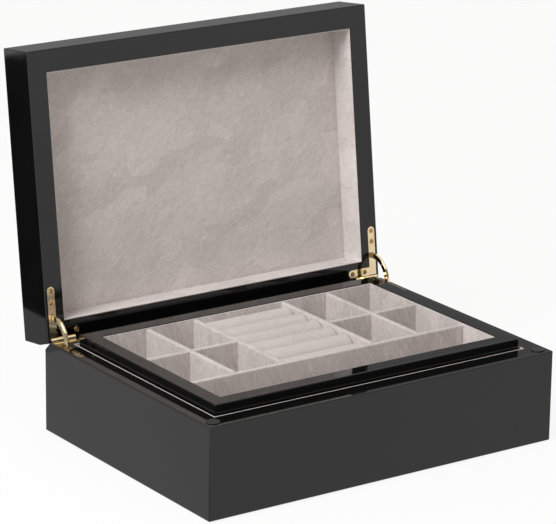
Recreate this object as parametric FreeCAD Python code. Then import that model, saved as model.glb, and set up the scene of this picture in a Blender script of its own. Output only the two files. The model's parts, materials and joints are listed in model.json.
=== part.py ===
import FreeCAD, Part
import math
import os
from FreeCAD import Vector

# Jewellery box with a hinged lid on quadrant hinges and a lift-out tray, shown with its lid open.
# Millimetres, +Z up, front towards -Y, origin under the middle of the case on the floor.

# Outer sizes
box_width = 300.0
box_depth = 218.0
case_rim_height = 70.0
lid_height = 34.0
lid_open_angle = 97.0
edge_round = 0.8

# Case walls, bottom and lining
case_side_wall = 14.0
case_front_wall = 15.4
case_back_wall = 16.6
case_lining = 1.2
felt_thickness = 1.0
felt_inset = 2.5
bottom_panel_thickness = 6.0
bottom_rebate = 6.0
floor_pad_thickness = 2.0
ledge_thickness = 6.0
ledge_height = 12.0

# Bumpers that keep the rims apart when the lid is shut
bumper_diameter = 10.0
bumper_height = 0.8
bumper_air = 0.2
bumper_inset = 8.0

# Lid walls, top panel and lining
lid_side_wall = 15.0
lid_front_wall = 16.8
lid_back_wall = 18.0
lid_lining = 0.9
lid_lining_drop = 0.4
lid_inside_depth = 22.5
lid_pad_thickness = 2.5
top_panel_border = 6.0

# Relief on the rear edges, which lets the lid swing past upright
case_relief = 7.0
lid_relief_run = 3.0
lid_relief_rise = 13.5

# Quadrant hinges
axis_inset = 4.6
leaf_thickness = 1.8
leaf_width = 6.2
leaf_edge_inset = 2.3
leaf_long_arm = 38.0
leaf_short_arm = 26.0
leaf_setback = 2.2
mortise_clearance = 0.4
barrel_radius = 1.9
barrel_length = 20.4
barrel_relief = 0.25
knuckle_gap = 0.15
tongue_thickness = 1.2
pin_radius = 0.9
pin_clearance = 0.05

# Hinge screws
screw_head_radius = 2.0
screw_head_depth = 1.1
screw_shank_radius = 0.9
screw_length = 10.0
screw_slot_length = 2.4
screw_slot_width = 0.5
screw_slot_depth = 0.5
long_arm_screws = (26.2, 34.6)
short_arm_screws = (11.0, 22.6)

# Curved stays that stop the lid
stay_radius = 17.4
stay_width = 4.0
stay_thickness = 2.0
stay_head_width = 6.2
stay_head_angle = 5.5
stay_stop_gap = 0.3
slot_clearance = 0.25
pocket_clearance = 1.0

# Lift-out tray
tray_fit = 1.2
tray_front_fit = 1.3
tray_height = 38.0
tray_proud = 7.4
tray_rail = 11.5
tray_round = 0.7
tray_board_thickness = 3.0
tray_rebate = 5.0
tray_pad_thickness = 1.5
tray_lining = 1.0
tray_lining_drop = 0.6
tray_rest_gap = 0.1

# Tray dividers and ring rolls
divider_thickness = 4.0
divider_drop = 1.5
divider_round = 1.4
front_row_depth = 37.1
section_half_width = 37.5
ring_roll_count = 6
ring_roll_ease = 0.1
ring_roll_drop = 4.0

# Derived positions
half_width = box_width / 2
half_depth = box_depth / 2
rim_gap = bumper_height + bumper_air
axis_y = half_depth - axis_inset
axis_z = case_rim_height + rim_gap / 2
lid_rim = case_rim_height + rim_gap
lid_top = lid_rim + lid_height
lid_ceiling = lid_rim + lid_inside_depth
panel_underside = lid_ceiling + lid_pad_thickness
case_base = felt_thickness
panel_top = case_base + bottom_panel_thickness
case_floor = panel_top + floor_pad_thickness
leaf_outer = half_width - leaf_edge_inset
leaf_rear = axis_y - leaf_setback
arm_centre = leaf_outer - leaf_width / 2
tray_top = case_rim_height + tray_proud
tray_bottom = tray_top - tray_height
board_top = tray_bottom + tray_board_thickness
pad_top = board_top + tray_pad_thickness
stay_inner_reach = stay_radius - stay_head_width / 2
stay_stop_depth = rim_gap / 2 + leaf_thickness + stay_stop_gap
stay_overrun = math.degrees(math.asin(stay_stop_depth / stay_inner_reach)) + stay_head_angle
over = 5.0

# Rectangles are written as left, right, front, back
box_outline = (-half_width, half_width, -half_depth, half_depth)


def inset(rect, side, front, back):
    return (rect[0] + side, rect[1] - side, rect[2] + front, rect[3] - back)


case_opening = inset(box_outline, case_side_wall, case_front_wall, case_back_wall)
case_inside = inset(case_opening, case_lining, case_lining, case_lining)
lid_opening = inset(box_outline, lid_side_wall, lid_front_wall, lid_back_wall)
lid_inside = inset(lid_opening, lid_lining, lid_lining, lid_lining)
narrow_inside = (
    max(case_inside[0], lid_inside[0]),
    min(case_inside[1], lid_inside[1]),
    max(case_inside[2], lid_inside[2]),
    min(case_inside[3], lid_inside[3]),
)
tray_outline = inset(narrow_inside, tray_fit, tray_front_fit, tray_fit)
tray_opening = inset(tray_outline, tray_rail, tray_rail, tray_rail)
tray_inside = inset(tray_opening, tray_lining, tray_lining, tray_lining)


def block(rect, low, high):
    corner = Vector(rect[0], rect[2], low)
    return Part.makeBox(rect[1] - rect[0], rect[3] - rect[2], high - low, corner)


def plan_prism(points, low, high):
    corners = [Vector(x, y, low) for x, y in points]
    wire = Part.makePolygon(corners + corners[:1])
    return Part.Face(wire).extrude(Vector(0, 0, high - low))


def side_prism(points, left, right):
    corners = [Vector(left, y, z) for y, z in points]
    wire = Part.makePolygon(corners + corners[:1])
    return Part.Face(wire).extrude(Vector(right - left, 0, 0))


def rod(radius, left, right, y, z):
    return Part.makeCylinder(radius, right - left, Vector(left, y, z), Vector(1, 0, 0))


def post(radius, x, y, low, high):
    return Part.makeCylinder(radius, high - low, Vector(x, y, low))


def edges_at(solid, low, high):
    """Upright edges and the level edges that lie between two heights."""
    found = []
    for edge in solid.Edges:
        heights = [vertex.Z for vertex in edge.Vertexes]
        upright = abs(heights[0] - heights[-1]) > 1e-6
        level = low - 1e-6 <= heights[0] <= high + 1e-6
        if upright or level:
            found.append(edge)
    return found


def rounded_block(rect, low, high, radius, from_height):
    solid = block(rect, low, high)
    return solid.makeFillet(radius, edges_at(solid, from_height, high))


def mirrored_x(shape):
    return shape.mirror(Vector(0, 0, 0), Vector(1, 0, 0))


def turned_over(shape):
    """The same hinge piece set into the lid instead of the case."""
    return shape.mirror(Vector(0, 0, axis_z), Vector(0, 0, 1))


def opened(shape):
    copy = shape.copy()
    copy.rotate(Vector(0, axis_y, axis_z), Vector(1, 0, 0), -lid_open_angle)
    return copy


def mitred_frame(ring, outer, inner, low, high):
    """Four sides of a ring, each cut from the outer corner to the inner corner."""
    left, right, front, back = outer
    in_left, in_right, in_front, in_back = inner
    plans = {
        "front": [(left, front), (right, front), (in_right, in_front), (in_left, in_front)],
        "back": [(left, back), (in_left, in_back), (in_right, in_back), (right, back)],
        "left": [(left, front), (in_left, in_front), (in_left, in_back), (left, back)],
        "right": [(right, front), (right, back), (in_right, in_back), (in_right, in_front)],
    }
    return {side: ring.common(plan_prism(plan, low, high)) for side, plan in plans.items()}


def lining_strips(rect, thickness, low, high):
    """Front and back strips run full width, side strips stand between them."""
    left, right, front, back = rect
    return {
        "front": block((left, right, front, front + thickness), low, high),
        "back": block((left, right, back - thickness, back), low, high),
        "left": block((left, left + thickness, front + thickness, back - thickness), low, high),
        "right": block((right - thickness, right, front + thickness, back - thickness), low, high),
    }


# Hinge pieces for the right-hand side of the case


def leaf_outline(grow, low, high):
    """The L-shaped leaf with round arm ends, grown on every side."""
    reach = leaf_width / 2
    long_end = leaf_rear - leaf_long_arm + reach
    short_end = leaf_outer - leaf_short_arm + reach
    short_middle = leaf_rear - reach
    long_rect = (leaf_outer - leaf_width - grow, leaf_outer + grow, long_end, leaf_rear + grow)
    short_rect = (short_end, leaf_outer + grow, leaf_rear - leaf_width - grow, leaf_rear + grow)
    outline = block(long_rect, low, high)
    outline = outline.fuse(block(short_rect, low, high))
    outline = outline.fuse(post(reach + grow, arm_centre, long_end, low, high))
    outline = outline.fuse(post(reach + grow, short_end, short_middle, low, high))
    return outline.removeSplitter()


def screw_places():
    middle = leaf_rear - leaf_width / 2
    along = [(arm_centre, leaf_rear - distance) for distance in long_arm_screws]
    across = [(leaf_outer - distance, middle) for distance in short_arm_screws]
    return along + across


def screw_body(x, y):
    head = Part.makeCone(
        screw_shank_radius,
        screw_head_radius,
        screw_head_depth,
        Vector(x, y, case_rim_height - screw_head_depth),
    )
    shank = post(screw_shank_radius, x, y, case_rim_height - screw_length, case_rim_height - screw_head_depth)
    return head.fuse(shank).removeSplitter()


def screw_with_cross(x, y):
    screw = screw_body(x, y)
    low = case_rim_height - screw_slot_depth
    reach = screw_slot_length / 2
    half = screw_slot_width / 2
    along = block((x - half, x + half, y - reach, y + reach), low, case_rim_height + over)
    across = block((x - reach, x + reach, y - half, y + half), low, case_rim_height + over)
    return screw.cut(along).cut(across)


def knuckle_spans(outer):
    third = barrel_length / 3
    half_gap = knuckle_gap / 2
    start = leaf_outer - barrel_length
    if outer:
        first = (start, start + third - half_gap)
        last = (start + 2 * third + half_gap, leaf_outer)
        return [first, last]
    return [(start + third + half_gap, start + 2 * third - half_gap)]


def hinge_leaf(outer_knuckles, hole_radius):
    low = case_rim_height - leaf_thickness
    leaf = leaf_outline(0.0, low, case_rim_height)
    for left, right in knuckle_spans(outer_knuckles):
        tongue = (left, right, leaf_rear - leaf_setback, axis_y)
        leaf = leaf.fuse(block(tongue, case_rim_height - tongue_thickness, case_rim_height))
        leaf = leaf.fuse(rod(barrel_radius, left, right, axis_y, axis_z))
    leaf = leaf.removeSplitter()
    leaf = leaf.cut(rod(hole_radius, leaf_outer - barrel_length - over, leaf_outer + over, axis_y, axis_z))
    slot_half_x = stay_thickness / 2 + slot_clearance
    slot_half_y = stay_width / 2 + slot_clearance
    slot_y = axis_y - stay_radius
    slot = (arm_centre - slot_half_x, arm_centre + slot_half_x, slot_y - slot_half_y, slot_y + slot_half_y)
    leaf = leaf.cut(block(slot, low - over, case_rim_height + over))
    for x, y in screw_places():
        leaf = leaf.cut(screw_body(x, y))
    return leaf


def hinge_recess():
    """Everything taken out of the right rear corner for one leaf, its screws and the stay."""
    low = case_rim_height - leaf_thickness
    recess = leaf_outline(mortise_clearance, low, case_rim_height + rim_gap)
    barrel_left = leaf_outer - barrel_length - mortise_clearance
    barrel_right = leaf_outer + mortise_clearance
    behind = (barrel_left, barrel_right, leaf_rear, axis_y)
    recess = recess.fuse(block(behind, low, case_rim_height + rim_gap))
    recess = recess.fuse(rod(barrel_radius + barrel_relief, barrel_left, barrel_right, axis_y, axis_z))
    pocket_half = stay_thickness / 2 + slot_clearance
    head_reach = stay_head_width / 2 + pocket_clearance
    swing = math.radians(lid_open_angle / 2 + stay_overrun)
    depth = (stay_radius + stay_head_width / 2) * math.sin(swing) + pocket_clearance
    near = axis_y - stay_inner_reach * math.cos(swing) + pocket_clearance
    far = axis_y - stay_radius - head_reach
    pocket = (arm_centre - pocket_half, arm_centre + pocket_half, far, near)
    recess = recess.fuse(block(pocket, axis_z - depth, low + rim_gap))
    for x, y in screw_places():
        recess = recess.fuse(post(screw_shank_radius, x, y, case_rim_height - screw_length, case_rim_height))
    return recess


def arc_band(inner, outer, start, end, left, right):
    """A flat curved bar about the hinge axis, angles measured up from the case rim."""
    ring = rod(outer, left, right, axis_y, axis_z).cut(rod(inner, left - over, right + over, axis_y, axis_z))
    steps = 12
    fan = [(axis_y, axis_z)]
    for step in range(steps + 1):
        angle = math.radians(start + (end - start) * step / steps)
        fan.append((axis_y - 2 * outer * math.cos(angle), axis_z + 2 * outer * math.sin(angle)))
    return ring.common(side_prism(fan, left, right))


def lid_stay():
    left = arm_centre - stay_thickness / 2
    right = arm_centre + stay_thickness / 2
    start = -stay_overrun
    end = lid_open_angle + stay_overrun
    half = stay_width / 2
    head = stay_head_width / 2
    stay = arc_band(stay_radius - half, stay_radius + half, start, end, left, right)
    lower = arc_band(stay_radius - head, stay_radius + head, start, start + stay_head_angle, left, right)
    upper = arc_band(stay_radius - head, stay_radius + head, end - stay_head_angle, end, left, right)
    return stay.fuse(lower).fuse(upper).removeSplitter()


nodes = {}

# Case
case_recess = hinge_recess()
case_shell = rounded_block(box_outline, case_base, case_rim_height, edge_round, case_base)
case_shell = case_shell.cut(block(case_opening, case_base - over, case_rim_height + over))
panel_rect = inset(case_opening, -bottom_rebate, -bottom_rebate, -bottom_rebate)
case_shell = case_shell.cut(block(panel_rect, case_base - over, panel_top))
case_slope = [
    (half_depth - case_relief, case_rim_height),
    (half_depth, case_rim_height - case_relief),
    (half_depth + over, case_rim_height - case_relief),
    (half_depth + over, case_rim_height + over),
    (half_depth - case_relief, case_rim_height + over),
]
case_shell = case_shell.cut(side_prism(case_slope, -half_width - over, half_width + over))
case_shell = case_shell.cut(case_recess).cut(mirrored_x(case_recess))
for side, wall in mitred_frame(case_shell, box_outline, case_opening, case_base, case_rim_height).items():
    nodes["case_" + side + "_wall"] = wall
nodes["case_bottom_panel"] = block(panel_rect, case_base, panel_top)
felt_rect = inset(box_outline, felt_inset, felt_inset, felt_inset)
felt = block(felt_rect, 0.0, felt_thickness)
upright = [edge for edge in felt.Edges if abs(edge.Vertexes[0].Z - edge.Vertexes[-1].Z) > 1e-6]
nodes["base_felt_pad"] = felt.makeFillet(edge_round, upright)
nodes["case_floor_pad"] = block(case_opening, panel_top, case_floor)
lining_top = case_rim_height
for side, strip in lining_strips(case_opening, case_lining, case_floor, lining_top).items():
    nodes["case_lining_" + side] = strip
ledge_top = tray_bottom - tray_rest_gap
ledge_right = (case_inside[1] - ledge_thickness, case_inside[1], case_inside[2], case_inside[3])
ledge = block(ledge_right, ledge_top - ledge_height, ledge_top)
nodes["tray_ledge_right"] = ledge
nodes["tray_ledge_left"] = mirrored_x(ledge)
bumper_x = half_width - bumper_inset
bumper_y = bumper_inset - half_depth
bumper = post(bumper_diameter / 2, bumper_x, bumper_y, case_rim_height, case_rim_height + bumper_height)
nodes["bumper_right"] = bumper
nodes["bumper_left"] = mirrored_x(bumper)

# Lid, drawn shut and then swung open
lid_recess = turned_over(case_recess)
lid_shell = rounded_block(box_outline, lid_rim, lid_top, edge_round, lid_rim)
lid_shell = lid_shell.cut(block(lid_opening, lid_rim - over, lid_top + over))
top_rect = inset(box_outline, top_panel_border, top_panel_border, top_panel_border)
lid_shell = lid_shell.cut(block(top_rect, panel_underside, lid_top + over))
lid_slope = [
    (half_depth - lid_relief_run, lid_rim),
    (half_depth, lid_rim + lid_relief_rise),
    (half_depth + over, lid_rim + lid_relief_rise),
    (half_depth + over, lid_rim - over),
    (half_depth - lid_relief_run, lid_rim - over),
]
lid_shell = lid_shell.cut(side_prism(lid_slope, -half_width - over, half_width + over))
lid_shell = lid_shell.cut(lid_recess).cut(mirrored_x(lid_recess))
for side, wall in mitred_frame(lid_shell, box_outline, lid_opening, lid_rim, lid_top).items():
    nodes["lid_" + side + "_wall"] = opened(wall)
nodes["lid_top_panel"] = opened(block(top_rect, panel_underside, lid_top))
nodes["lid_lining_panel"] = opened(block(lid_opening, lid_ceiling, panel_underside))
for side, strip in lining_strips(lid_opening, lid_lining, lid_rim + lid_lining_drop, lid_ceiling).items():
    nodes["lid_lining_" + side] = opened(strip)

# Hinges
case_leaf = hinge_leaf(True, pin_radius)
lid_leaf = opened(turned_over(hinge_leaf(False, pin_radius + pin_clearance)))
screws = Part.makeCompound([screw_with_cross(x, y) for x, y in screw_places()])
lid_screws = opened(turned_over(screws))
pin = rod(pin_radius, leaf_outer - barrel_length, leaf_outer, axis_y, axis_z)
stay_bar = lid_stay()
hinge_pieces = {
    "case_leaf": case_leaf,
    "lid_leaf": lid_leaf,
    "case_screws": screws,
    "lid_screws": lid_screws,
    "pin": pin,
    "stay": stay_bar,
}
for piece, shape in hinge_pieces.items():
    nodes["hinge_right_" + piece] = shape
    nodes["hinge_left_" + piece] = mirrored_x(shape)

# Tray frame, board and lining
tray_ring = rounded_block(tray_outline, tray_bottom, tray_top, tray_round, tray_top)
tray_ring = tray_ring.cut(block(tray_opening, tray_bottom - over, tray_top + over))
board_rect = inset(tray_opening, -tray_rebate, -tray_rebate, -tray_rebate)
tray_ring = tray_ring.cut(block(board_rect, tray_bottom - over, board_top))
for side, rail in mitred_frame(tray_ring, tray_outline, tray_opening, tray_bottom, tray_top).items():
    nodes["tray_" + side + "_rail"] = rail
nodes["tray_floor_board"] = block(board_rect, tray_bottom, board_top)
nodes["tray_floor_pad"] = block(tray_opening, board_top, pad_top)
for side, strip in lining_strips(tray_opening, tray_lining, pad_top, tray_top - tray_lining_drop).items():
    nodes["tray_lining_" + side] = strip

# Dividers with soft round tops, half-lapped where they cross
divider_top = tray_top - divider_drop
divider_half = divider_thickness / 2
lap_height = (pad_top + divider_top) / 2
front_divider_low = tray_inside[2] + front_row_depth
front_divider_high = front_divider_low + divider_thickness
row_middle = (front_divider_high + tray_inside[3]) / 2
section_outer = section_half_width + divider_thickness
column_middle = (section_outer + tray_inside[1]) / 2


def divider(rect):
    solid = block(rect, pad_top, divider_top)
    along_x = rect[1] - rect[0] > rect[3] - rect[2]
    tops = []
    for edge in solid.Edges:
        first, last = edge.Vertexes[0].Point, edge.Vertexes[-1].Point
        level = abs(first.z - divider_top) < 1e-6 and abs(last.z - divider_top) < 1e-6
        lengthwise = abs(first.x - last.x) > 1e-6 if along_x else abs(first.y - last.y) > 1e-6
        if level and lengthwise:
            tops.append(edge)
    return solid.makeFillet(divider_round, tops)


nodes["front_divider"] = divider((tray_inside[0], tray_inside[1], front_divider_low, front_divider_high))
section_wall = divider((section_half_width, section_outer, front_divider_high, tray_inside[3]))
column_rect = (column_middle - divider_half, column_middle + divider_half, front_divider_high, tray_inside[3])
cross_rect = (section_outer, tray_inside[1], row_middle - divider_half, row_middle + divider_half)
crossing = (column_rect[0], column_rect[1], cross_rect[2], cross_rect[3])
column_divider = divider(column_rect).cut(block(crossing, lap_height, divider_top))
cross_divider = divider(cross_rect).cut(block(crossing, pad_top, lap_height))
tray_pieces = {
    "section_wall": section_wall,
    "column_divider": column_divider,
    "cross_divider": cross_divider,
}
for piece, shape in tray_pieces.items():
    nodes["right_" + piece] = shape
    nodes["left_" + piece] = mirrored_x(shape)

# Ring rolls side by side between the section walls
roll_pitch = (tray_inside[3] - front_divider_high) / ring_roll_count
roll_radius = (roll_pitch - ring_roll_ease) / 2
roll_axis = tray_top - ring_roll_drop - roll_radius
for number in range(ring_roll_count):
    roll_y = front_divider_high + roll_pitch * (number + 0.5)
    roll_rect = (-section_half_width, section_half_width, roll_y - roll_radius, roll_y + roll_radius)
    roll = block(roll_rect, pad_top, roll_axis)
    roll = roll.fuse(rod(roll_radius, -section_half_width, section_half_width, roll_y, roll_axis))
    nodes["ring_roll_" + str(number + 1)] = roll.removeSplitter()

os.makedirs("parts", exist_ok=True)
for name, shape in nodes.items():
    shape.exportStep("parts/" + name + ".step")
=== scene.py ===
"""Open jewellery box: black lacquered case, lid and tray, suede linings and brass quadrant hinges."""

import json
import math

import bmesh
import bpy
from mathutils import Matrix, Vector, noise


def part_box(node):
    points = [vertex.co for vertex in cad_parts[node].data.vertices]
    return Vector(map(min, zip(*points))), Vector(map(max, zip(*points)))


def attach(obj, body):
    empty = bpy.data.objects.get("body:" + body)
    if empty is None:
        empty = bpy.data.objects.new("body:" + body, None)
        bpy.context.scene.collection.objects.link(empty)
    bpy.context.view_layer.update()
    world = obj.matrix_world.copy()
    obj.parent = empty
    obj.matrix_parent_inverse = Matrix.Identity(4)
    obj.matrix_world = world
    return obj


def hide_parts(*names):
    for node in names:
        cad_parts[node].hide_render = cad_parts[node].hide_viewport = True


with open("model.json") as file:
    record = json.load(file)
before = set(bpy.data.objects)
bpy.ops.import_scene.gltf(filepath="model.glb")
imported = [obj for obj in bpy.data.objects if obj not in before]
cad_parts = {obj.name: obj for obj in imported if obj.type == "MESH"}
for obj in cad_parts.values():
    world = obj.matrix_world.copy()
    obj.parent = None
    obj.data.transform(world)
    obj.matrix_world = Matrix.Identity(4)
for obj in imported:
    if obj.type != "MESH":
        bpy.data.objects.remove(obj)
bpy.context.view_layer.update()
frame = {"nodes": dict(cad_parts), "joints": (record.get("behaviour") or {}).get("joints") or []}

# Lengths are in millimetres and turned into metres, except in the studio, which is in metres
MM = 0.001

# Tolerances in millimetres, and angles in degrees that tell flat, smooth and sharp edges apart
MERGE_DISTANCE = 0.004
LEVEL_TOLERANCE = 0.001
CUT_TOLERANCE = 0.0001
FLAT_ANGLE = 0.4
CORNER_ANGLE = 57.0
HARD_SHARP = 32.0
DIVIDER_SHARP = 50.0
SOFT_SHARP = 60.0

# Pieces of the box, by the CAD nodes that they stand for
SIDES = ("front", "back", "left", "right")
HANDS = ("left", "right")
CASE_WALLS = [f"case_{side}_wall" for side in SIDES]
LID_WALLS = [f"lid_{side}_wall" for side in SIDES] + ["lid_top_panel"]
TRAY_RAILS = [f"tray_{side}_rail" for side in SIDES]
RING_ROLLS = [f"ring_roll_{number}" for number in range(1, 7)]
FRONT_ROLL = RING_ROLLS[0]
HIDDEN_BOARDS = ["case_bottom_panel", "tray_ledge_left", "tray_ledge_right", "tray_floor_board"]

# Linings: the turned-over edge is rounded by a share of the thickness
LINING_ROUND = 0.42
LINING_SEGMENTS = 3

# Dividers
DIVIDER_ROUND = 1.1
DIVIDER_SEGMENTS = 5
DIVIDER_STEP = 5.0
DIVIDER_END = 0.5
DIVIDER_WAVER = 0.10
DIVIDER_GRAIN = 160.0

# Pads
PAD_ROUND = 0.7
PAD_SEGMENTS = 3
PAD_CELL = 5.0
PAD_MARGIN = 4.0
PAD_WAVER = 0.10
PAD_GRAIN = 22.0

# Ring rolls, which stand fuller than their solids apart from the front one
ROLL_FULLNESS = 1.4
ROLL_SEGMENTS = 12
ROLL_CREST = 0.02
ROLL_MERGE = 0.08
ROLL_END_GAP = 0.75
ROLL_END_ROUND = 0.45
ROLL_END_SEGMENTS = 4
ROLL_STEP = 2.5
ROLL_FOOT = 2.0
ROLL_WAVER = 0.07
ROLL_GRAIN = 130.0

# Felt base and bumpers
FELT_CORNER = 0.8
FELT_CORNER_SEGMENTS = 5
FELT_ROUND = 0.25
FELT_SEGMENTS = 2
BUMPER_SIDES = 48
BUMPER_ROUND = 0.4
BUMPER_SEGMENTS = 4

# Brass
BRASS_EDGE = 0.3
SCREW_EDGE = 0.08
BEVEL_ANGLE = 40.0
BEVEL_SEGMENTS = 2
SCREW_DOME = 0.3
SCREW_HEAD = 2.0

# Tones of each finish, darkest and lightest
LACQUER_TONES = ((0.0022, 0.0020, 0.0021), (0.0036, 0.0033, 0.0033))
TRAY_TONES = ((0.462, 0.418, 0.398), (0.690, 0.636, 0.614))
# The panel and strip tones are the tray suede painted lighter: painted light standing in for the
# brighter light on the lid's lining
PANEL_TONES_PAINTED_LIGHTER = ((0.500, 0.454, 0.430), (0.740, 0.684, 0.656))
STRIP_TONES_PAINTED_LIGHTER = ((0.532, 0.484, 0.464), (0.762, 0.706, 0.684))
ROLL_TONES = ((0.510, 0.464, 0.444), (0.642, 0.590, 0.568))
BRASS_TONES = ((0.78, 0.61, 0.36), (0.90, 0.75, 0.50))
SCREW_TONES = ((0.42, 0.26, 0.11), (0.60, 0.41, 0.19))
FELT_TONES = ((0.010, 0.010, 0.011), (0.035, 0.034, 0.034))
BUMPER_TONES = ((0.005, 0.005, 0.005), (0.014, 0.013, 0.013))
BOARD_TONES = ((0.16, 0.10, 0.055), (0.30, 0.21, 0.13))

# Roughness of each finish, smoothest and roughest
LACQUER_POLISH = (0.035, 0.065)
SUEDE_POLISH = (0.86, 0.98)
BRASS_POLISH = (0.05, 0.12)
SCREW_POLISH = (0.12, 0.24)
BUMPER_POLISH = (0.45, 0.70)

# Range of a noise pattern that matters, and of the mixed suede pattern
NOISE_SPAN = (0.3, 0.7)
SUEDE_SPAN = (0.42, 0.70)

# Brush strokes in the suede: scale along x, y and z, turn in degrees and share of the tone
TRAY_STROKES = ((330.0, 330.0, 75.0), 24.0, 0.50)
PANEL_STROKES = ((130.0, 380.0, 380.0), 34.0, 0.34)
ROLL_STROKES = ((110.0, 330.0, 330.0), 0.0, 0.34)
STRIP_STROKES = ((160.0, 160.0, 320.0), 30.0, 0.34)

# Other marks in the suede, with their shares of the tone: clouds and strokes together take the first
CLOUD_AND_STROKE_SHARE = 0.52
FIBRE_SHARE = 0.44
SMEAR_SHARE = 0.12
CREASE_SHARE = 0.14
FIBRE_SCALE = 1300.0
SMEAR_SCALE = 0.16
SMEAR_WOBBLE = 40.0
CREASE_SCALE = 0.34
CREASE_WIDTH = 0.020
SHEEN_TINT = (1.0, 0.97, 0.95, 1.0)

# Camera, as the photograph was taken
CAMERA_AZIMUTH = 34.91
CAMERA_ELEVATION = 17.19
CAMERA_ROLL = 0.77
CAMERA_DISTANCE = 2301.0
CAMERA_TARGET = Vector((-19.4, 0.0, 137.3))
CAMERA_REACH = 100.0
SENSOR_WIDTH = 36.0
FOCAL_PIXELS = 3196.0
PHOTO_WIDTH = 556.0

# Studio in metres: a white floor, a grey wall all round and one soft lamp
FLOOR_HALF = 12.0
FLOOR_LEVEL = -0.0001
FLOOR_GREY = 0.82
FLOOR_GLOW = 0.9
SURROUND_RADIUS = 5.0
SURROUND_HEIGHT = 3.0
SURROUND_SIDES = 96
SURROUND_GREY = 0.26
SURROUND_LEAN = -8.0
AMBIENT = 0.52
AMBIENT_COLOUR = (1.0, 0.950, 0.905, 1.0)
WHITE = (1.0, 1.0, 1.0, 1.0)
LAMP_DIRECTION = Vector((-0.70, -0.16, 0.70))
LAMP_TARGET = Vector((0.0, 0.0, 0.1))
LAMP_DISTANCE = 2.2
LAMP_SIZE = 1.3
LAMP_POWER = 42.0
LAMP_COLOUR = (0.96, 0.975, 1.0)

# Cards on the floor that only reflections see: left, right, front, back and grey
CARDS = {
    "dark_flag": (-0.75, -0.285, 0.18, 1.15, 0.02),
    "dim_card": (-0.285, -0.150, -0.18, 0.262, 0.67),
    "rear_card": (-0.285, -0.150, 0.262, 0.50, 0.41),
    "pale_card": (-0.150, 4.0, -4.0, -0.109, 0.85),
}

# An upright dark card that the brass reflects
HINGE_FLAG_LOW = Vector((0.10, -0.402, 0.0))
HINGE_FLAG_HIGH = Vector((0.30, -0.400, 0.050))
HINGE_FLAG_GREY = 0.03


# Materials


def new_finish(name):
    """An empty material with its tree, its shader and the object coordinates that its patterns use."""
    material = bpy.data.materials.new(name)
    material.use_nodes = True
    tree = material.node_tree
    shader = tree.nodes["Principled BSDF"]
    place = tree.nodes.new("ShaderNodeTexCoord").outputs["Object"]
    return material, tree, shader, place


def add(tree, kind, sockets, **settings):
    """A node whose sockets are given a value or joined to another node's output."""
    node = tree.nodes.new(kind)
    for name, value in settings.items():
        setattr(node, name, value)
    for socket, value in sockets.items():
        if isinstance(value, bpy.types.NodeSocket):
            tree.links.new(value, node.inputs[socket])
        else:
            node.inputs[socket].default_value = value
    return node


def calculate(tree, operation, *values):
    sockets = dict(enumerate(values))
    return add(tree, "ShaderNodeMath", sockets, operation=operation).outputs[0]


def noise_pattern(tree, place, scale, detail=3.0, roughness=0.5, distortion=0.0):
    sockets = {"Vector": place, "Scale": scale, "Detail": detail, "Roughness": roughness}
    sockets["Distortion"] = distortion
    return add(tree, "ShaderNodeTexNoise", sockets)


def speckle(tree, place, scale, detail=3.0, roughness=0.5, distortion=0.0):
    return noise_pattern(tree, place, scale, detail, roughness, distortion).outputs["Fac"]


def stretched(tree, place, scale, turn=0.0):
    """Coordinates that draw a pattern out along its smallest scale, turned about the box's depth."""
    rotation = (0.0, math.radians(turn), 0.0)
    turned = add(tree, "ShaderNodeMapping", {"Vector": place, "Rotation": rotation})
    drawn_out = add(tree, "ShaderNodeMapping", {"Vector": turned.outputs["Vector"], "Scale": scale})
    return drawn_out.outputs["Vector"]


def weighted_sum(tree, parts):
    """Adds outputs together, each times its own share."""
    total = 0.0
    for output, share in parts:
        total = calculate(tree, "MULTIPLY_ADD", output, share, total)
    return total


def spread(tree, value, low, high, new_low, new_high):
    sockets = {"Value": value, "From Min": low, "From Max": high, "To Min": new_low, "To Max": new_high}
    return add(tree, "ShaderNodeMapRange", sockets).outputs["Result"]


def tones(tree, value, shades, span=NOISE_SPAN):
    ramp = add(tree, "ShaderNodeValToRGB", {"Fac": value})
    for element, shade, position in zip(ramp.color_ramp.elements, shades, span):
        element.position = position
        element.color = (*shade, 1.0)
    return ramp.outputs["Color"]


def bump(tree, height, strength, depth):
    sockets = {"Height": height, "Strength": strength, "Distance": depth * MM}
    return add(tree, "ShaderNodeBump", sockets).outputs["Normal"]


def set_constants(shader, **values):
    for name, value in values.items():
        shader.inputs[name.replace("_", " ")].default_value = value


def join(tree, output, shader, socket):
    tree.links.new(output, shader.inputs[socket])


def make_lacquer():
    """Polished black lacquer: a deep gloss with a faint ripple and a slightly uneven polish."""
    material, tree, shader, place = new_finish("black_lacquer")
    cloud = speckle(tree, place, scale=14.0, detail=4.0)
    haze = speckle(tree, place, scale=90.0)
    ripple = speckle(tree, place, scale=55.0, detail=1.0)
    join(tree, tones(tree, cloud, LACQUER_TONES), shader, "Base Color")
    join(tree, spread(tree, haze, *NOISE_SPAN, *LACQUER_POLISH), shader, "Roughness")
    join(tree, bump(tree, ripple, strength=0.05, depth=0.12), shader, "Normal")
    set_constants(shader, IOR=1.5)
    return material


def nap_marks(tree, place, scale, width):
    """Thin bent lines where a finger or brush has turned the nap, broken up so that few of them show."""
    field = speckle(tree, place, scale, detail=2.0, roughness=0.55, distortion=0.6)
    offset = calculate(tree, "SUBTRACT", field, 0.5)
    distance = calculate(tree, "ABSOLUTE", offset)
    line = spread(tree, distance, 0.0, width, 1.0, 0.0)
    gaps = speckle(tree, place, scale * 1.3, roughness=0.6)
    shown = spread(tree, gaps, 0.50, 0.70, 0.0, 1.0)
    return calculate(tree, "MULTIPLY", line, shown)


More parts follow.
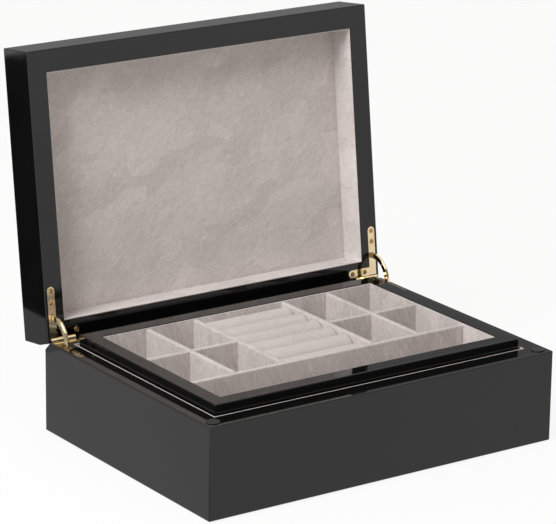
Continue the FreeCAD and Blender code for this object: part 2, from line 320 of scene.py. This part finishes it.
def smears(tree, place, scale, turn):
    """Patches where a hand has stroked the nap one way, each with its own tone and a clear edge."""
    wobble = noise_pattern(tree, place, scale=30.0, detail=2.0)
    sockets = {0: wobble.outputs["Color"], 1: (SMEAR_WOBBLE * MM,) * 3, 2: place}
    bent = add(tree, "ShaderNodeVectorMath", sockets, operation="MULTIPLY_ADD").outputs["Vector"]
    drawn_out = stretched(tree, bent, scale, turn)
    patch = add(tree, "ShaderNodeTexVoronoi", {"Vector": drawn_out, "Scale": 1.0})
    return patch.outputs["Color"]


def make_suede(name, shades, brush):
    """Brushed suede: clouds, smears, strokes and creases of the nap, and a fine fibre."""
    material, tree, shader, place = new_finish(name)
    stroke_scale, stroke_turn, stroke_share = brush
    smear_scale = [scale * SMEAR_SCALE for scale in stroke_scale]
    along = stretched(tree, place, stroke_scale, stroke_turn)
    cloud = speckle(tree, place, scale=24.0, detail=9.0, roughness=0.72)
    patches = smears(tree, place, smear_scale, stroke_turn)
    strokes = speckle(tree, along, scale=1.0, detail=4.0, roughness=0.6, distortion=1.6)
    fibre = speckle(tree, place, FIBRE_SCALE, roughness=0.7)
    creases = nap_marks(tree, along, CREASE_SCALE, CREASE_WIDTH)
    parts = [
        (cloud, CLOUD_AND_STROKE_SHARE - stroke_share),
        (strokes, stroke_share),
        (fibre, FIBRE_SHARE),
        (patches, SMEAR_SHARE),
        (creases, CREASE_SHARE),
    ]
    shade = weighted_sum(tree, parts)
    relief = weighted_sum(tree, [(fibre, 0.5), (strokes, 0.5), (creases, 1.4)])
    join(tree, tones(tree, shade, shades, SUEDE_SPAN), shader, "Base Color")
    join(tree, bump(tree, relief, strength=0.5, depth=0.22), shader, "Normal")
    join(tree, spread(tree, cloud, *NOISE_SPAN, *SUEDE_POLISH), shader, "Roughness")
    set_constants(shader, Specular_IOR_Level=0.1)
    set_constants(shader, Sheen_Weight=0.04, Sheen_Roughness=0.6, Sheen_Tint=SHEEN_TINT)
    return material


def make_brass(name, shades, polish):
    """Polished brass with faint brush lines and a little tarnish in patches."""
    material, tree, shader, place = new_finish(name)
    patch = speckle(tree, place, scale=120.0, detail=4.0)
    brushed = stretched(tree, place, (900.0, 60.0, 900.0))
    lines = speckle(tree, brushed, scale=1.0, detail=2.0)
    wear = weighted_sum(tree, [(patch, 0.5), (lines, 0.5)])
    join(tree, tones(tree, patch, shades), shader, "Base Color")
    join(tree, spread(tree, wear, *NOISE_SPAN, *polish), shader, "Roughness")
    join(tree, bump(tree, lines, strength=0.05, depth=0.02), shader, "Normal")
    set_constants(shader, Metallic=1.0)
    return material


def make_felt():
    """Dark pressed felt for the base, with loose short fibres."""
    material, tree, shader, place = new_finish("base_felt")
    fibre = speckle(tree, place, scale=2200.0, roughness=0.7)
    clump = speckle(tree, place, scale=260.0, detail=4.0, roughness=0.6)
    shade = weighted_sum(tree, [(fibre, 0.5), (clump, 0.5)])
    join(tree, tones(tree, shade, FELT_TONES), shader, "Base Color")
    join(tree, bump(tree, shade, strength=0.6, depth=0.3), shader, "Normal")
    set_constants(shader, Roughness=0.95, Specular_IOR_Level=0.1)
    set_constants(shader, Sheen_Weight=0.2, Sheen_Roughness=0.5)
    return material


def make_bumper():
    """Dark soft bumper with a slightly dusty top."""
    material, tree, shader, place = new_finish("bumper_rubber")
    dust = speckle(tree, place, scale=900.0, detail=4.0, roughness=0.65)
    join(tree, tones(tree, dust, BUMPER_TONES), shader, "Base Color")
    join(tree, spread(tree, dust, *NOISE_SPAN, *BUMPER_POLISH), shader, "Roughness")
    join(tree, bump(tree, dust, strength=0.15, depth=0.08), shader, "Normal")
    return material


def make_board():
    """Fine pressed wood board, bare and light brown."""
    material, tree, shader, place = new_finish("pressed_board")
    chips = speckle(tree, place, scale=700.0, detail=5.0, roughness=0.7)
    cloud = speckle(tree, place, scale=25.0)
    shade = weighted_sum(tree, [(chips, 0.6), (cloud, 0.4)])
    join(tree, tones(tree, shade, BOARD_TONES), shader, "Base Color")
    join(tree, bump(tree, chips, strength=0.3, depth=0.1), shader, "Normal")
    set_constants(shader, Roughness=0.8)
    return material


lacquer = make_lacquer()
tray_suede = make_suede("tray_suede", TRAY_TONES, TRAY_STROKES)
# The lid's panel and strips use the same suede painted lighter, which is painted light; their strokes
# are their own
panel_suede_painted_lighter = make_suede("panel_suede_painted_lighter", PANEL_TONES_PAINTED_LIGHTER, PANEL_STROKES)
roll_suede = make_suede("roll_suede", ROLL_TONES, ROLL_STROKES)
strip_suede_painted_lighter = make_suede("strip_suede_painted_lighter", STRIP_TONES_PAINTED_LIGHTER, STRIP_STROKES)
brass = make_brass("brass", BRASS_TONES, BRASS_POLISH)
screw_brass = make_brass("screw_brass", SCREW_TONES, SCREW_POLISH)
felt = make_felt()
bumper_rubber = make_bumper()
board = make_board()


# Shapes


def block(low, high):
    shape = bmesh.new()
    place = Matrix.LocRotScale((low + high) / 2, None, high - low)
    bmesh.ops.create_cube(shape, size=1.0, matrix=place)
    return shape


def sheet(low, high, columns=1, rows=1):
    """A flat rectangle at the lower height, cut into cells."""
    shape = bmesh.new()
    centre = Vector(((low.x + high.x) / 2, (low.y + high.y) / 2, low.z))
    place = Matrix.LocRotScale(centre, None, Vector((high.x - low.x, high.y - low.y, 1.0)))
    bmesh.ops.create_grid(shape, x_segments=columns, y_segments=rows, size=0.5, matrix=place)
    return shape


def thicken(shape, height):
    """Raises a flat sheet into a closed body."""
    raised = bmesh.ops.extrude_face_region(shape, geom=shape.faces[:], use_keep_orig=True)
    top = [item for item in raised["geom"] if isinstance(item, bmesh.types.BMVert)]
    bmesh.ops.translate(shape, verts=top, vec=Vector((0.0, 0.0, height)))
    bmesh.ops.recalc_face_normals(shape, faces=shape.faces)


def round_edges(shape, edges, radius, segments):
    bmesh.ops.bevel(
        shape,
        geom=edges,
        offset=radius * MM,
        offset_type="OFFSET",
        affect="EDGES",
        segments=segments,
        profile=0.5,
        material=-1,
        clamp_overlap=True,
    )


def at_level(point, height):
    return abs(point.z - height) < LEVEL_TOLERANCE * MM


def level_edges(shape, height, axis=None):
    """Edges that lie at one height, and run along one axis where that is given."""
    found = []
    for edge in shape.edges:
        first, last = (vertex.co for vertex in edge.verts)
        if not (at_level(first, height) and at_level(last, height)):
            continue
        run = last - first
        if axis is None or run.length - abs(run[axis]) < LEVEL_TOLERANCE * MM:
            found.append(edge)
    return found


def corner_edges(edges):
    """The edges among these where two faces meet at a corner."""
    return [edge for edge in edges if edge.calc_face_angle(0.0) > math.radians(CORNER_ANGLE)]


def slice_along(shape, axis, low, high, step):
    """Cuts a shape into even lengths, so that it can bend and waver."""
    count = max(2, round((high - low) / (step * MM)))
    direction = Vector((0.0, 0.0, 0.0))
    direction[axis] = 1.0
    for number in range(1, count):
        point = direction * (low + (high - low) * number / count)
        bmesh.ops.bisect_plane(
            shape,
            geom=shape.verts[:] + shape.edges[:] + shape.faces[:],
            dist=CUT_TOLERANCE * MM,
            plane_co=point,
            plane_no=direction,
        )


def waver(shape, depth, grain, inside):
    """Moves the skin in and out a little, the way glued fabric lies, where the test allows it."""
    shape.normal_update()
    moves = []
    for vertex in shape.verts:
        if inside(vertex):
            moves.append((vertex, vertex.normal * depth * MM * noise.noise(vertex.co * grain)))
    for vertex, move in moves:
        vertex.co += move


def transform(shape, matrix):
    bmesh.ops.transform(shape, matrix=matrix, verts=shape.verts)


def merge_points(shape, distance):
    bmesh.ops.remove_doubles(shape, verts=shape.verts, dist=distance * MM)


def merged_copy(node):
    """A copy of a CAD node's mesh with its loose triangles joined."""
    shape = bmesh.new()
    shape.from_mesh(frame["nodes"][node].data)
    merge_points(shape, MERGE_DISTANCE)
    return shape


def flat_faced_copy(node):
    """A copy of a CAD node's mesh with the triangles of each flat face made one face."""
    shape = merged_copy(node)
    bmesh.ops.dissolve_limit(
        shape,
        angle_limit=math.radians(FLAT_ANGLE),
        verts=shape.verts,
        edges=shape.edges,
        delimit={"NORMAL"},
    )
    return shape


def new_object(name, shape):
    mesh = bpy.data.meshes.new(name)
    shape.to_mesh(mesh)
    shape.free()
    thing = bpy.data.objects.new(name, mesh)
    bpy.context.scene.collection.objects.link(thing)
    return thing


def joined_walls(nodes):
    """The walls of one box under a single coat, with no seam at the mitres."""
    things = [new_object("bare_" + node, merged_copy(node)) for node in nodes]
    coat = things[0]
    for thing in things[1:]:
        union = coat.modifiers.new(thing.name, "BOOLEAN")
        union.operation = "UNION"
        union.solver = "MANIFOLD"
        union.object = thing
    bpy.context.view_layer.update()
    graph = bpy.context.evaluated_depsgraph_get()
    mesh = bpy.data.meshes.new_from_object(coat.evaluated_get(graph))
    shape = bmesh.new()
    shape.from_mesh(mesh)
    bpy.data.meshes.remove(mesh)
    for thing in things:
        bpy.data.objects.remove(thing)
    return shape


def add_piece(name, shape, material, body, nodes, sharp_angle=HARD_SHARP):
    """Turns a shape into a piece of the box that rides on a body and stands for CAD nodes."""
    limit = math.radians(sharp_angle)
    for face in shape.faces:
        face.smooth = True
        face.material_index = 0
    for edge in shape.edges:
        edge.smooth = edge.calc_face_angle(0.0) < limit
    piece = new_object(name, shape)
    piece.data.materials.clear()
    piece.data.materials.append(material)
    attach(piece, body)
    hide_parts(*nodes)
    return piece


def even_shading(piece):
    shading = piece.modifiers.new("even_shading", "WEIGHTED_NORMAL")
    shading.keep_sharp = True
    shading.weight = 100


def broken_edges(piece, width):
    """The fine bevel that polishing leaves on every edge of a metal piece."""
    edges = piece.modifiers.new("broken_edges", "BEVEL")
    edges.width = width * MM
    edges.segments = BEVEL_SEGMENTS
    edges.limit_method = "ANGLE"
    edges.angle_limit = math.radians(BEVEL_ANGLE)
    edges.miter_outer = "MITER_ARC"


# The lid is drawn shut and swung open about its hinge
hinge = next(joint for joint in frame["joints"] if joint["name"] == "lid_hinge")
hinge_axis = Vector(hinge["pos_m"])
open_angle = math.radians(max(hinge["range_deg"]))
to_open = (
    Matrix.Translation(hinge_axis)
    @ Matrix.Rotation(-open_angle, 4, Vector(hinge["axis"]))
    @ Matrix.Translation(-hinge_axis)
)
to_shut = to_open.inverted()


def box_of(points):
    low = Vector([min(point[axis] for point in points) for axis in range(3)])
    high = Vector([max(point[axis] for point in points) for axis in range(3)])
    return low, high


def upright_box(node, lid):
    """The box of a node, taken with the lid shut where it belongs to the lid."""
    if lid:
        return box_of([to_shut @ vertex.co for vertex in frame["nodes"][node].data.vertices])
    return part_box(node)


# Lacquered case, lid and tray frame


def add_lacquer(name, nodes, body):
    piece = add_piece(name, joined_walls(nodes), lacquer, body, nodes)
    even_shading(piece)


add_lacquer("case_shell", CASE_WALLS, "case")
add_lacquer("lid_shell", LID_WALLS, "lid")
add_lacquer("tray_frame", TRAY_RAILS, "tray")


# Suede linings, which are strips folded round the inside of the walls


def lining_ring(low, high, thickness):
    shape = sheet(low, high)
    middle = shape.faces[:]
    bmesh.ops.inset_region(
        shape,
        faces=middle,
        thickness=thickness,
        use_boundary=True,
        use_even_offset=True,
    )
    bmesh.ops.delete(shape, geom=middle, context="FACES")
    thicken(shape, high.z - low.z)
    return shape


def add_lining(name, prefix, material, body, lid=False):
    """One band of suede round the inside of four walls, with its free edge turned over."""
    nodes = [f"{prefix}_{side}" for side in SIDES]
    boxes = [upright_box(node, lid) for node in nodes]
    low, high = box_of([corner for box in boxes for corner in box])
    front_low, front_high = boxes[0]
    thickness = front_high.y - front_low.y
    shape = lining_ring(low, high, thickness)
    free_edge = low.z if lid else high.z
    radius = LINING_ROUND * thickness / MM
    round_edges(shape, level_edges(shape, free_edge), radius, LINING_SEGMENTS)
    if lid:
        transform(shape, to_open)
    add_piece(name, shape, material, body, nodes)


add_lining("case_suede_lining", "case_lining", tray_suede, "case")
add_lining("lid_suede_lining", "lid_lining", strip_suede_painted_lighter, "lid", lid=True)
add_lining("tray_suede_lining", "tray_lining", tray_suede, "tray")


# Pads: suede over thin foam on a board


def soft_pad(low, high):
    columns = max(2, round((high.x - low.x) / (PAD_CELL * MM)))
    rows = max(2, round((high.y - low.y) / (PAD_CELL * MM)))
    shape = sheet(low, high, columns, rows)
    thicken(shape, high.z - low.z)
    return shape


def add_pad(name, node, material, body, face_up=True, lid=False):
    """A flat pad with turned-over edges and a faintly uneven face."""
    low, high = upright_box(node, lid)
    shape = soft_pad(low, high)
    face = high.z if face_up else low.z
    margin = PAD_MARGIN * MM

    def on_face(vertex):
        across = low.x + margin < vertex.co.x < high.x - margin
        along = low.y + margin < vertex.co.y < high.y - margin
        return at_level(vertex.co, face) and across and along

    round_edges(shape, corner_edges(level_edges(shape, face)), PAD_ROUND, PAD_SEGMENTS)
    waver(shape, PAD_WAVER, PAD_GRAIN, on_face)
    if lid:
        transform(shape, to_open)
    piece = add_piece(name, shape, material, body, [node])


add_pad("case_soft_floor", "case_floor_pad", tray_suede, "case")
add_pad("tray_soft_floor", "tray_floor_pad", tray_suede, "tray")
add_pad("lid_soft_panel", "lid_lining_panel", panel_suede_painted_lighter, "lid", face_up=False, lid=True)


# Dividers: thin boards wrapped in suede, with a soft round top


def wrapped_board(low, high, axis):
    shape = block(low, high)
    round_edges(shape, level_edges(shape, high.z, axis), DIVIDER_ROUND, DIVIDER_SEGMENTS)
    slice_along(shape, axis, low[axis], high[axis], DIVIDER_STEP)
    end = DIVIDER_END * MM

    def between_ends(vertex):
        clear_of_floor = vertex.co.z > low.z + end
        return low[axis] + end < vertex.co[axis] < high[axis] - end and clear_of_floor

    waver(shape, DIVIDER_WAVER, DIVIDER_GRAIN, between_ends)
    return shape


def add_board(name, shape, node):
    add_piece(name, shape, tray_suede, "tray", [node], DIVIDER_SHARP)


def add_divider(name, node, axis):
    low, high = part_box(node)
    add_board(name, wrapped_board(low, high, axis), node)


def add_cross_divider(hand):
    """Two short boards that meet the column divider from both sides."""
    node = f"{hand}_cross_divider"
    low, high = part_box(node)
    column_low, column_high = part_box(f"{hand}_column_divider")
    near = wrapped_board(low, Vector((column_low.x, high.y, high.z)), 0)
    far = wrapped_board(Vector((column_high.x, low.y, low.z)), high, 0)
    mesh = bpy.data.meshes.new("far_half")
    far.to_mesh(mesh)
    far.free()
    near.from_mesh(mesh)
    bpy.data.meshes.remove(mesh)
    add_board(f"{hand}_cross_board", near, node)


add_divider("front_row_board", "front_divider", 0)
for hand in HANDS:
    add_divider(f"{hand}_section_board", f"{hand}_section_wall", 1)
    add_divider(f"{hand}_column_board", f"{hand}_column_divider", 1)
    add_cross_divider(hand)


# Ring rolls: suede drawn tight over half-round foam


def ring_roll(low, high, fullness):
    gap = Vector((ROLL_END_GAP * MM, 0.0, 0.0))
    low = low + gap
    high = high - gap + Vector((0.0, 0.0, fullness * MM))
    shape = block(low, high)
    radius = (high.y - low.y) / 2 / MM - ROLL_CREST
    round_edges(shape, level_edges(shape, high.z, 0), radius, ROLL_SEGMENTS)
    merge_points(shape, ROLL_MERGE)
    foot = low.z + LEVEL_TOLERANCE * MM
    ends = [
        edge
        for edge in corner_edges(shape.edges)
        if min(vertex.co.z for vertex in edge.verts) > foot
    ]
    round_edges(shape, ends, ROLL_END_ROUND, ROLL_END_SEGMENTS)
    slice_along(shape, 0, low.x, high.x, ROLL_STEP)

    def above_floor(vertex):
        return vertex.co.z > low.z + ROLL_FOOT * MM

    waver(shape, ROLL_WAVER, ROLL_GRAIN, above_floor)
    return shape


for node in RING_ROLLS:
    low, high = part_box(node)
    fullness = 0.0 if node == FRONT_ROLL else ROLL_FULLNESS
    shape = ring_roll(low, high, fullness)
    roll = add_piece(f"soft_{node}", shape, roll_suede, "tray", [node], SOFT_SHARP)


# Felt base and bumpers


def felt_sheet(low, high):
    shape = block(low, high)
    level = level_edges(shape, high.z) + level_edges(shape, low.z)
    upright = [edge for edge in shape.edges if edge not in level]
    round_edges(shape, upright, FELT_CORNER, FELT_CORNER_SEGMENTS)
    round_edges(shape, level_edges(shape, high.z) + level_edges(shape, low.z), FELT_ROUND, FELT_SEGMENTS)
    return shape


def domed_bumper(low, high):
    shape = bmesh.new()
    radius = (high.x - low.x) / 2
    bmesh.ops.create_cone(
        shape,
        cap_ends=True,
        segments=BUMPER_SIDES,
        radius1=radius,
        radius2=radius,
        depth=high.z - low.z,
        matrix=Matrix.Translation((low + high) / 2),
    )
    round_edges(shape, level_edges(shape, high.z), BUMPER_ROUND, BUMPER_SEGMENTS)
    return shape


low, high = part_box("base_felt_pad")
shape = felt_sheet(low, high)
base_felt = add_piece("base_felt", shape, felt, "case", ["base_felt_pad"], SOFT_SHARP)

for hand in HANDS:
    node = f"bumper_{hand}"
    low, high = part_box(node)
    shape = domed_bumper(low, high)
    dome = add_piece(f"soft_{node}", shape, bumper_rubber, "case", [node], SOFT_SHARP)
    even_shading(dome)


# Brass hinges


def islands(shape):
    """The separate closed bodies in a shape, as lists of vertices."""
    left = set(shape.verts)
    found = []
    while left:
        grown = [left.pop()]
        for vertex in grown:
            for edge in vertex.link_edges:
                other = edge.other_vert(vertex)
                if other in left:
                    left.remove(other)
                    grown.append(other)
        found.append(grown)
    return found


def domed_screws(node, lid):
    """Screws whose heads are raised a little towards their cross recess."""
    shape = flat_faced_copy(node)
    if lid:
        transform(shape, to_shut)
    heights = [vertex.co.z for vertex in shape.verts]
    face = min(heights) if lid else max(heights)
    rise = -SCREW_DOME * MM if lid else SCREW_DOME * MM
    for screw in islands(shape):
        head = [vertex for vertex in screw if at_level(vertex.co, face)]
        head_low, head_high = box_of([vertex.co for vertex in head])
        middle = (head_low.xy + head_high.xy) / 2
        for vertex in head:
            share = (vertex.co.xy - middle).length / (SCREW_HEAD * MM)
            vertex.co.z += rise * max(0.0, 1.0 - share * share)
    if lid:
        transform(shape, to_open)
    return shape


def add_brass(name, shape, material, edge, node, body):
    piece = add_piece(name, shape, material, body, [node])
    broken_edges(piece, edge)
    even_shading(piece)


for hand in HANDS:
    for part in ("case", "lid"):
        leaf = f"hinge_{hand}_{part}_leaf"
        add_brass(f"{hand}_{part}_plate", flat_faced_copy(leaf), brass, BRASS_EDGE, leaf, part)
        screws = f"hinge_{hand}_{part}_screws"
        heads = domed_screws(screws, part == "lid")
        add_brass(f"{hand}_{part}_plate_screws", heads, screw_brass, SCREW_EDGE, screws, part)
    stay = f"hinge_{hand}_stay"
    add_brass(f"{hand}_curved_stay", flat_faced_copy(stay), brass, BRASS_EDGE, stay, f"{hand}_stay")


# CAD nodes that stay as they are


def dress(node, material):
    for slot in frame["nodes"][node].material_slots:
        slot.material = material


for hand in HANDS:
    dress(f"hinge_{hand}_pin", brass)
for node in HIDDEN_BOARDS:
    dress(node, board)


# Studio


def seen_directly(tree):
    """One for camera, glossy and transmission rays, otherwise nought."""
    path = tree.nodes.new("ShaderNodeLightPath")
    seen = path.outputs["Is Camera Ray"]
    for name in ("Is Glossy Ray", "Is Transmission Ray"):
        seen = calculate(tree, "MAXIMUM", seen, path.outputs[name])
    return seen


def light_world():
    """White where it is seen directly, and a warm dim light for everything else."""
    world = bpy.data.worlds.new("studio")
    bpy.context.scene.world = world
    world.use_nodes = True
    tree = world.node_tree
    ambient = tree.nodes["Background"]
    ambient.inputs["Color"].default_value = AMBIENT_COLOUR
    ambient.inputs["Strength"].default_value = AMBIENT
    white = add(tree, "ShaderNodeBackground", {"Color": WHITE, "Strength": 1.0})
    sockets = {0: seen_directly(tree), 1: ambient.outputs[0], 2: white.outputs[0]}
    mixed = add(tree, "ShaderNodeMixShader", sockets)
    tree.links.new(mixed.outputs[0], tree.nodes["World Output"].inputs["Surface"])


def glow_material(name, grey, matt=None, share=1.0):
    """A surface that glows evenly for what sees it directly, and is matt for the rest."""
    material = bpy.data.materials.new(name)
    material.use_nodes = True
    tree = material.node_tree
    tree.nodes.remove(tree.nodes["Principled BSDF"])
    glow = add(tree, "ShaderNodeEmission", {"Color": (grey, grey, grey, 1.0), "Strength": 1.0})
    result = glow.outputs[0]
    if matt is not None:
        paint = add(tree, "ShaderNodeBsdfDiffuse", {"Color": (matt, matt, matt, 1.0)})
        glowing = calculate(tree, "MULTIPLY", seen_directly(tree), share)
        sockets = {0: glowing, 1: paint.outputs[0], 2: result}
        result = add(tree, "ShaderNodeMixShader", sockets).outputs[0]
    tree.links.new(result, tree.nodes["Material Output"].inputs["Surface"])
    return material


def stage_piece(name, shape, material):
    thing = new_object(name, shape)
    thing.data.materials.append(material)
    return thing


def add_reflection(name, shape, grey):
    """A glowing surface that shows only in reflections."""
    thing = stage_piece(name, shape, glow_material(name, grey))
    thing.visible_camera = False
    thing.visible_diffuse = False
    thing.visible_shadow = False
    thing.visible_transmission = False


def surround_wall():
    shape = bmesh.new()
    bmesh.ops.create_cone(
        shape,
        cap_ends=False,
        segments=SURROUND_SIDES,
        radius1=SURROUND_RADIUS,
        radius2=SURROUND_RADIUS,
        depth=SURROUND_HEIGHT,
        matrix=Matrix.Translation(Vector((0.0, 0.0, SURROUND_HEIGHT / 2))),
    )
    transform(shape, Matrix.Rotation(math.radians(SURROUND_LEAN), 4, "X"))
    return shape


def set_stage():
    floor_low = Vector((-FLOOR_HALF, -FLOOR_HALF, FLOOR_LEVEL))
    floor_high = Vector((FLOOR_HALF, FLOOR_HALF, FLOOR_LEVEL))
    white = glow_material("white_floor", 1.0, matt=FLOOR_GREY, share=FLOOR_GLOW)
    stage_piece("floor", sheet(floor_low, floor_high), white)
    add_reflection("surround", surround_wall(), SURROUND_GREY)
    for name, (left, right, front, back, grey) in CARDS.items():
        card = sheet(Vector((left, front, 0.0)), Vector((right, back, 0.0)))
        add_reflection(name, card, grey)
    add_reflection("hinge_flag", block(HINGE_FLAG_LOW, HINGE_FLAG_HIGH), HINGE_FLAG_GREY)


def add_lamp():
    lamp = bpy.data.lights.new("key_lamp", "AREA")
    lamp.shape = "DISK"
    lamp.size = LAMP_SIZE
    lamp.energy = LAMP_POWER
    lamp.color = LAMP_COLOUR
    thing = bpy.data.objects.new("key_lamp", lamp)
    bpy.context.scene.collection.objects.link(thing)
    aim = LAMP_DIRECTION.normalized()
    thing.location = LAMP_TARGET + aim * LAMP_DISTANCE
    thing.rotation_mode = "QUATERNION"
    thing.rotation_quaternion = aim.to_track_quat("Z", "Y")


def set_camera():
    azimuth = math.radians(CAMERA_AZIMUTH)
    elevation = math.radians(CAMERA_ELEVATION)
    roll = math.radians(CAMERA_ROLL)
    level = math.cos(elevation)
    forward = Vector((math.sin(azimuth) * level, math.cos(azimuth) * level, -math.sin(elevation)))
    right = forward.cross(Vector((0.0, 0.0, 1.0))).normalized()
    up = right.cross(forward)
    across = math.cos(roll) * right + math.sin(roll) * up
    upward = math.cos(roll) * up - math.sin(roll) * right
    data = bpy.data.cameras.new("camera")
    data.sensor_width = SENSOR_WIDTH
    data.lens = FOCAL_PIXELS * SENSOR_WIDTH / PHOTO_WIDTH
    data.clip_end = CAMERA_REACH
    camera = bpy.data.objects.new("camera", data)
    bpy.context.scene.collection.objects.link(camera)
    place = Matrix((across, upward, -forward)).transposed().to_4x4()
    place.translation = (CAMERA_TARGET - CAMERA_DISTANCE * forward) * MM
    camera.matrix_world = place
    bpy.context.scene.camera = camera


light_world()
set_stage()
add_lamp()
set_camera()
bpy.context.scene.view_settings.view_transform = "Standard"
